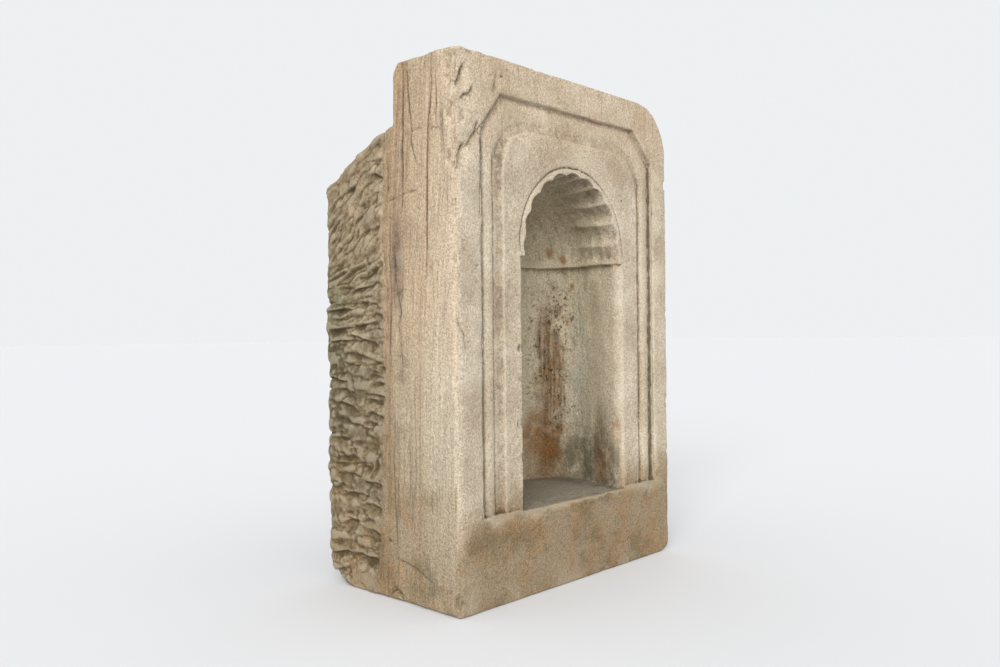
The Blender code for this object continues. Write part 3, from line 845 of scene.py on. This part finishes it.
def line_weights(points, facing):
    """1 on the cracks, drawn dark, and along the moulding steps and the top border's step, where
    the dark is painted shade; about 2 mm to each side of a line.
    """
    depth = depth_of(points)
    in_side, in_front = side_map(points), front_map(points)
    on_left = np.where(points[:, 0] < 0, side_weight(points, facing), 0)
    front = soft_step(0.4, 0.8, -facing[:, 1]) * soft_step(22 * mm, 14 * mm, depth)
    dark = np.zeros(len(points))
    for line, _, cut in side_cracks:
        dark = np.maximum(dark, on_left * groove(in_side, line, 2.4, 1) / mm * min(1, cut / 2.4))
    for line, _, cut in front_cracks_and_top_step:
        dark = np.maximum(dark, front * groove(in_front, line, 2.2, 1) / mm * min(1, cut / 2))
    for line, _, _, step_shade in moulding_steps:
        patchy = step_shade * (0.7 + 0.4 * cloud(points, 30 * mm, 171))
        dark = np.maximum(dark, front * groove(in_front, line, 2.0, 1, 0.05) / mm * patchy)
    gaps = soft_step(-0.55, 0.35, cloud(points, (16 * mm, 16 * mm, 26 * mm), 172))
    return np.clip(dark * (0.35 + 0.65 * gaps), 0, 1)


places = points_of(stone.data)
facing = normals_of(stone.data)
for name, values in stain_and_painted_light_weights(places, facing).items():
    give_number(stone.data, name, values)
# Cracks drawn dark, with painted shade along the moulding steps and under the top border
give_number(stone.data, "cracks_and_step_shade", line_weights(places, facing))
# How hollow or ridged each point is: the material paints shade, with dirt, into the hollows and
# a painted highlight onto the ridges
fine = ((smoothed_places(stone, 6) - places) * facing).sum(axis=1) / mm
broad = ((smoothed_places(stone, 24) - places) * facing).sum(axis=1) / mm
upper_frame = soft_step(600 * mm, 650 * mm, places[:, 2])
hollow = fine + 0.8 * broad * np.clip(
    tail_weight(places) + front_field(places) * (0.6 - 0.5 * upper_frame), 0, 1)
give_number(stone.data, "hollow", np.clip(hollow, -4, 4))
print("attributes:", [held.name for held in stone.data.attributes][-12:])

# %% [markdown]
# ## Weathered buff sandstone
# The stone is a medium-grained buff sandstone: quartz grains of a third of
# a millimetre in a clay and iron cement. It is matt, since every grain
# points its own way, so the roughness is high and the shine low. Colour
# comes in layers: the beds, clouds of iron, the grain, then the stains,
# with painted light and shade among them and over them.

# %% Colours in linear light
def colour(text):
    """An sRGB hex colour as linear red, green, blue and full opacity."""
    parts = [int(text[i:i + 2], 16) / 255 for i in (1, 3, 5)]
    linear = [p / 12.92 if p <= 0.04045 else ((p + 0.055) / 1.055) ** 2.4 for p in parts]
    return (*linear, 1.0)


room = (0.752, 0.796, 0.836)  # share of each colour that is the stone's own


def stone_colour(text):
    """A colour as the stone shows it in the bright room, as the stone's own."""
    *seen, opacity = colour(text)
    return (*(part * share for part, share in zip(seen, room)), opacity)


def stone_stops(*stops):
    """Stops of a Color Ramp as (place, colour), from places and hex colours."""
    return [(place, stone_colour(text)) for place, text in stops]


sandstone.use_nodes = True
stone_tree = sandstone.node_tree
shader = stone_tree.nodes["Principled BSDF"]
place_on_stone = add_node(stone_tree, "ShaderNodeTexCoord")["Object"]
weights = {name: add_node(stone_tree, "ShaderNodeAttribute", attribute_name=name)["Fac"]
           for name in ("bed", "side", "tail", "niche", "damp", "rust", "soot", "bloom",
                        "lichen", "olive", "specks", "floor", "moss", "shade", "grey",
                        "vein", "cracks_and_step_shade", "hollow")}
print("clay buff is", np.round(colour("#ccbda7")[:3], 3), "in linear light")

# %% Beds: sheets a few millimetres thick, read along the bedding
apart = add_node(stone_tree, "ShaderNodeSeparateXYZ", (place_on_stone,))
bedded = add_node(stone_tree, "ShaderNodeCombineXYZ", (apart[0], weights["bed"], apart[2]))[0]
# Repeats in a metre, each way: sheets of about 4 mm, packs of sheets of
# about 16 mm, and upright streaks of 5 mm
thin_place, broad_place, upright_place = [
    add_node(stone_tree, "ShaderNodeVectorMath", (place, repeats), operation="MULTIPLY")[0]
    for place, repeats in ((bedded, (9.0, 250.0, 11.0)), (bedded, (4.0, 62.0, 3.0)),
                           (place_on_stone, (210.0, 210.0, 12.0)))]
# The grain is drawn at 2 mm, as its real size would be lost in the picture
noise = {
    name: add_node(stone_tree, "ShaderNodeTexNoise", {
        "Vector": place, "Scale": repeats, "Detail": detail, "Roughness": roughness})[0]
    for name, place, repeats, detail, roughness in (
        ("sheets", thin_place, 1.0, 5.0, 0.7), ("packs", broad_place, 1.0, 2.0, 0.5),
        ("streaks", upright_place, 1.0, 4.0, 0.6), ("clouds", place_on_stone, 16.0, 5.0, 0.6),
        ("grain", place_on_stone, 430.0, 3.0, 0.8),
        ("coarse grain", place_on_stone, 230.0, 3.0, 0.65),
        ("blotches", place_on_stone, 34.0, 6.0, 0.65),
        ("broad blotches", place_on_stone, 15.0, 5.0, 0.62),
        ("specks", place_on_stone, 180.0, 1.0, 0.5))}
print("noises:", ", ".join(noise))

# %% The stone's own colour
face_colour = add_node(stone_tree, "ShaderNodeValToRGB", (noise["clouds"],), stone_stops(
    (0.28, "#bea88e"), (0.5, "#d1bda3"), (0.72, "#e3d0b8")))[0]
# The log of the beds behind the front face: 0.034 on the ramp is 10 mm
bed_share = add_node(stone_tree, "ShaderNodeMath", (weights["bed"], 3.4),
                     operation="MULTIPLY")[0]
wander = add_node(stone_tree, "ShaderNodeMath", (noise["packs"], 0.09, -0.045),
                  operation="MULTIPLY_ADD")[0]
bed_place = add_node(stone_tree, "ShaderNodeMath", (bed_share, wander), operation="ADD")[0]
log_of_beds = stone_stops(
    (0.000, "#d8c5ab"), (0.060, "#d4c1a6"), (0.122, "#c9b599"), (0.137, "#b6997c"),
    (0.150, "#c7b499"), (0.200, "#c0ac90"), (0.240, "#c2af93"), (0.262, "#b39e84"),
    (0.290, "#b8a385"), (0.330, "#ab9377"), (0.345, "#a0866a"), (0.370, "#b09779"),
    (0.420, "#a68f71"), (0.480, "#ab987a"), (0.600, "#a09074"), (1.000, "#938669"))
side_colour = add_node(stone_tree, "ShaderNodeValToRGB", (bed_place,), log_of_beds)[0]
own_colour = add_node(stone_tree, "ShaderNodeMix", {
    0: weights["side"], 6: face_colour, 7: side_colour}, data_type="RGBA")[2]
print("the log of the beds has", len(log_of_beds), "colours")

# %% [markdown]
# ## The stains and the painted light, one over the other
# Each stain has a weight on the mesh, a noise that breaks it into patches
# and a colour. They are laid in the order in which they came to the stone.
# Two rows are painted light: a painted shade that darkens the foot of the
# tail, and a painted light that makes the niche and its hood paler.

# %% Lay the stains and the painted light and shade
def broken(weight, pattern, first, last):
    """A weight broken up where a pattern is low: both are output sockets."""
    edge = add_node(stone_tree, "ShaderNodeMapRange", (pattern, first, last, 0.0, 1.0))[0]
    return add_node(stone_tree, "ShaderNodeMath", (weight, edge),
                    operation="MULTIPLY", use_clamp=True)[0]


noise["even"] = add_node(stone_tree, "ShaderNodeValue")[0]
noise["even"].default_value = 1.0
pick_tone = add_node(stone_tree, "ShaderNodeValToRGB", (noise["blotches"],), stone_stops(
    (0.3, "#75664c"), (0.5, "#9d8667"), (0.72, "#c0a783")))[0]
stains_and_painted_light = [  # weight, noise that breaks it up, from and to, colour, strength
    ("tail", "even", 0.0, 1.0, pick_tone, 0.9),
    # painted shade at the foot of the tail
    ("shade", "clouds", 0.3, 0.5, "#544a35", 0.75),
    ("moss", "blotches", 0.34, 0.6, "#504f35", 0.8),
    ("vein", "even", 0.0, 1.0, "#dcb893", 0.3),
    ("vein", "streaks", 0.54, 0.7, "#aa8466", 0.55),
    ("grey", "blotches", 0.3, 0.6, "#6f5d55", 0.75),
    # painted light: the niche and its hood paler than the face; the next row is the niche's own
    # mottle
    ("niche", "even", 0.0, 1.0, "#e2d1b3", 0.85),
    ("niche", "clouds", 0.42, 0.6, "#bba98c", 0.5),
    ("damp", "even", 0.0, 1.0, "#a08a6c", 0.85),
    ("damp", "broad blotches", 0.46, 0.6, "#aa7d50", 0.5),
    ("damp", "clouds", 0.5, 0.62, "#7b7156", 0.55),
    ("bloom", "streaks", 0.36, 0.6, "#b2b2a5", 0.6),
    ("olive", "blotches", 0.3, 0.55, "#665c46", 0.75),
    ("soot", "blotches", 0.3, 0.65, "#65492a", 0.65),
    ("soot", "streaks", 0.4, 0.6, "#4a3420", 0.55),
    ("rust", "broad blotches", 0.25, 0.55, "#9a6a3a", 0.75),
    ("specks", "specks", 0.56, 0.64, "#35281a", 0.8),
    ("lichen", "blotches", 0.3, 0.55, "#b0763a", 0.75),
    ("floor", "even", 0.0, 1.0, "#948a7c", 0.7),
]
stained_and_painted_light = own_colour
for name, breaks, first, last, tone, strength in stains_and_painted_light:
    share = broken(weights[name], noise[breaks], first, last)
    share = add_node(stone_tree, "ShaderNodeMath", (share, strength), operation="MULTIPLY")[0]
    if isinstance(tone, str):
        tone = stone_colour(tone)
    stained_and_painted_light = add_node(stone_tree, "ShaderNodeMix", {0: share, 6: stained_and_painted_light, 7: tone},
                       data_type="RGBA")[2]
print(len(stains_and_painted_light), "stains laid")

# %% Grain; painted shade with dirt in the hollows, painted highlight on the ridges; cracks and steps drawn dark
# Each row takes a source from one range to another. Grains, and on the
# sides the sheets, make one tone about 1. The last two rows give the
# share of painted shade, with dirt, in the hollows and of painted
# highlight on the ridges.
grain_tone, coarse_tone, sheets, where_sheets, shade_and_dirt_in_hollows, painted_ridge_highlight = [
    add_node(stone_tree, "ShaderNodeMapRange", row)[0] for row in (
        (noise["grain"], 0.25, 0.75, 0.5, 1.5), (noise["coarse grain"], 0.3, 0.7, 0.89, 1.11),
        (noise["sheets"], 0.3, 0.7, -0.36, 0.26), (noise["clouds"], 0.36, 0.62, 0.1, 0.9),
        (weights["hollow"], 0.1, 1.5, 0.0, 0.72), (weights["hollow"], -0.2, -1.6, 0.0, 0.28))]
side_sheets = add_node(stone_tree, "ShaderNodeMath", (where_sheets, weights["side"]),
                       operation="MULTIPLY")[0]
sheet_tone = add_node(stone_tree, "ShaderNodeMath", (sheets, side_sheets, 1.0),
                      operation="MULTIPLY_ADD")[0]
both_grains = add_node(stone_tree, "ShaderNodeMath", (grain_tone, coarse_tone),
                       operation="MULTIPLY")[0]
all_tones = add_node(stone_tree, "ShaderNodeMath", (both_grains, sheet_tone),
                     operation="MULTIPLY")[0]
speckled = add_node(stone_tree, "ShaderNodeVectorMath", {0: stained_and_painted_light, "Scale": all_tones},
                    operation="SCALE")[0]
dark_cracks_and_step_shade = add_node(stone_tree, "ShaderNodeMath", (weights["cracks_and_step_shade"], 0.85),
                    operation="MULTIPLY")[0]
finished = speckled
# Painted shade, with dirt, in the hollows; a painted highlight on the ridges; cracks drawn dark,
# with painted shade along the moulding steps and the top border's step
for share, tone in ((shade_and_dirt_in_hollows, "#5c4b35"), (painted_ridge_highlight, "#e2d2b8"), (dark_cracks_and_step_shade, "#4a3b2c")):
    finished = add_node(stone_tree, "ShaderNodeMix", {
        0: share, 6: finished, 7: stone_colour(tone)}, data_type="RGBA")[2]
relief = add_node(stone_tree, "ShaderNodeMath", (noise["coarse grain"], 1.0, noise["grain"]),
                  operation="MULTIPLY_ADD")[0]
sheet_relief = add_node(stone_tree, "ShaderNodeMath", (noise["sheets"], weights["side"]),
                        operation="MULTIPLY")[0]
all_relief = add_node(stone_tree, "ShaderNodeMath", (sheet_relief, 1.2, relief),
                      operation="MULTIPLY_ADD")[0]
bump = add_node(stone_tree, "ShaderNodeBump", {
    "Height": all_relief, "Strength": 1.0, "Distance": 1.8 * mm})[0]
stone_tree.links.new(finished, shader.inputs["Base Color"])
stone_tree.links.new(bump, shader.inputs["Normal"])
shader.inputs["Roughness"].default_value = 0.92
shader.inputs["Specular IOR Level"].default_value = 0.25
print("nodes in the stone:", len(stone_tree.nodes))

# %% The finished piece
stone.data.materials.clear()
stone.data.materials.append(sandstone)
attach(stone, "root")
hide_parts("niche_block")
print("piece:", stone.name, len(stone.data.polygons), "triangles")

# %% [markdown]
# ## Floor, light and camera
# A pale matt floor and a bright, even room, with one broad, low light from
# behind the camera that draws grooves and flutes softly.

# %% The floor
plaster = bpy.data.materials.new("pale_matt_floor_paint")
plaster.use_nodes = True
paint = plaster.node_tree.nodes["Principled BSDF"]
paint.inputs["Base Color"].default_value = colour("#d8d8d9")
paint.inputs["Roughness"].default_value = 0.85
ground = bpy.data.meshes.new("floor")
reach = 40.0
ground.from_pydata([(-reach, -reach, 0), (reach, -reach, 0), (reach, reach, 0),
                    (-reach, reach, 0)], [], [(0, 1, 2, 3)])
ground.materials.append(plaster)
floor = bpy.data.objects.new("floor", ground)
bpy.context.scene.collection.objects.link(floor)

# %% The light
# Without a film curve the pale room keeps its whites. The look gives the
# photograph's contrast, and the exposure keeps the floor just under white.
view = bpy.context.scene.view_settings
view.view_transform = "Standard"
view.look = "Medium High Contrast"
view.exposure = -0.3
world = bpy.data.worlds.new("bright room")
bpy.context.scene.world = world
world.use_nodes = True
sky = world.node_tree.nodes["Background"]
sky.inputs["Color"].default_value = colour("#f4f6f8")
sky.inputs["Strength"].default_value = 0.98
lamp = bpy.data.lights.new("window side", "SUN")
lamp.energy = 3.3
lamp.angle = math.radians(38)
window_side = bpy.data.objects.new("window side", lamp)
bpy.context.scene.collection.objects.link(window_side)
shines = Vector((0.72, 0.54, -0.38))
window_side.rotation_euler = shines.to_track_quat("-Z", "Y").to_euler()
print("light from", [round(-part, 2) for part in shines])

# %% The camera, as solved from the block's edges in the photograph
camera_place = (-0.99870, -0.92971, 0.35897)
turn = math.radians(46.742)
tip = math.radians(-0.061)
roll = math.radians(-0.569)
ahead = Vector((math.cos(tip) * math.sin(turn), math.cos(tip) * math.cos(turn),
                math.sin(tip)))
level = Vector((math.cos(turn), -math.sin(turn), 0))
upright = level.cross(ahead)
to_right = math.cos(roll) * level + math.sin(roll) * upright
to_top = -math.sin(roll) * level + math.cos(roll) * upright
lens = bpy.data.cameras.new("photograph")
lens.lens = 31.5526
lens.sensor_width = 36.0
eye = bpy.data.objects.new("photograph", lens)
bpy.context.scene.collection.objects.link(eye)
turned = Matrix((to_right, to_top, -ahead)).transposed()
eye.matrix_world = Matrix.Translation(camera_place) @ turned.to_4x4()
bpy.context.scene.camera = eye
